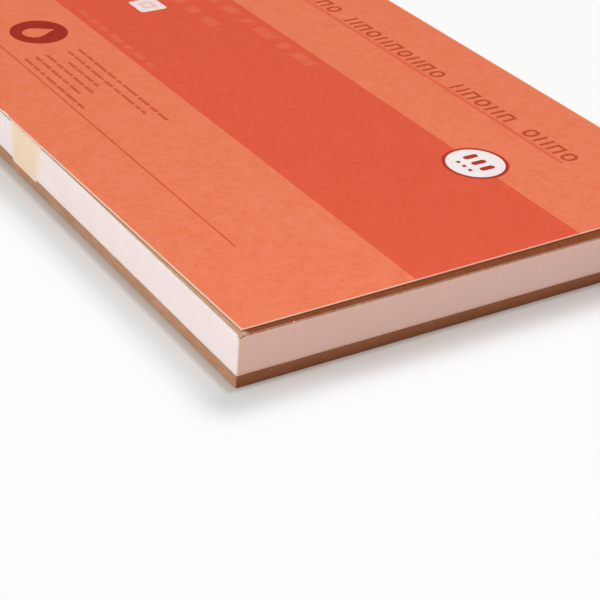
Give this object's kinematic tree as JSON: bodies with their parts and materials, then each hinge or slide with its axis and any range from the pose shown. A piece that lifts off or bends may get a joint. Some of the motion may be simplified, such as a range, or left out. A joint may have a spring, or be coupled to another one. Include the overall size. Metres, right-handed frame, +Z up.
{
  "type": "watercolour paper pad",
  "caption": "Block of heavy watercolour paper glued on all four sides, on a backing board, under a kraft sheet and a printed card cover that opens.",
  "frame": {"origin": "under the middle of the pad's outline, on the surface that it lies on", "axes": "+X along the long side in the print's reading direction, +Y up the print to the cover's hinge, +Z up through the cover"},
  "size_m": [0.1808, 0.1264, 0.0121],
  "materials": {
    "board": "matte, fibrous",
    "pages": "matte, cold pressed",
    "glue": "satin, brushed on",
    "strip": "matte",
    "kraft": "matte, fibrous",
    "cover": "matte, felt marked",
    "band_ink": "matte",
    "white_ink": "matte",
    "dark_ink": "matte",
    "title_ink": "matte",
    "small_ink": "matte",
    "pink_ink": "matte",
    "pale_ink": "matte"
  },
  "bodies": {
    "pad": {"backing_board": "board", "page_block": "pages", "padding_glue": "glue", "release_strip": "strip", "kraft_sheet": "kraft", "tipping_glue": "glue"},
    "cover": {"cover_card": "cover", "band_print": "band_ink", "badge_disc": "white_ink", "badge_print": "dark_ink", "title_print": "title_ink", "emblem_print": "dark_ink", "small_print": "small_ink", "pale_panel": "white_ink", "panel_print": "pink_ink", "pale_print": "pale_ink"}
  },
  "joints": [
    {"name": "cover_hinge", "type": "hinge", "parent": "pad", "child": "cover", "pos_m": [-0.0014, 0.06214, 0.0121], "axis": [-0.9999, -0.0145, 0], "range_deg": [0, 180]}
  ]
}
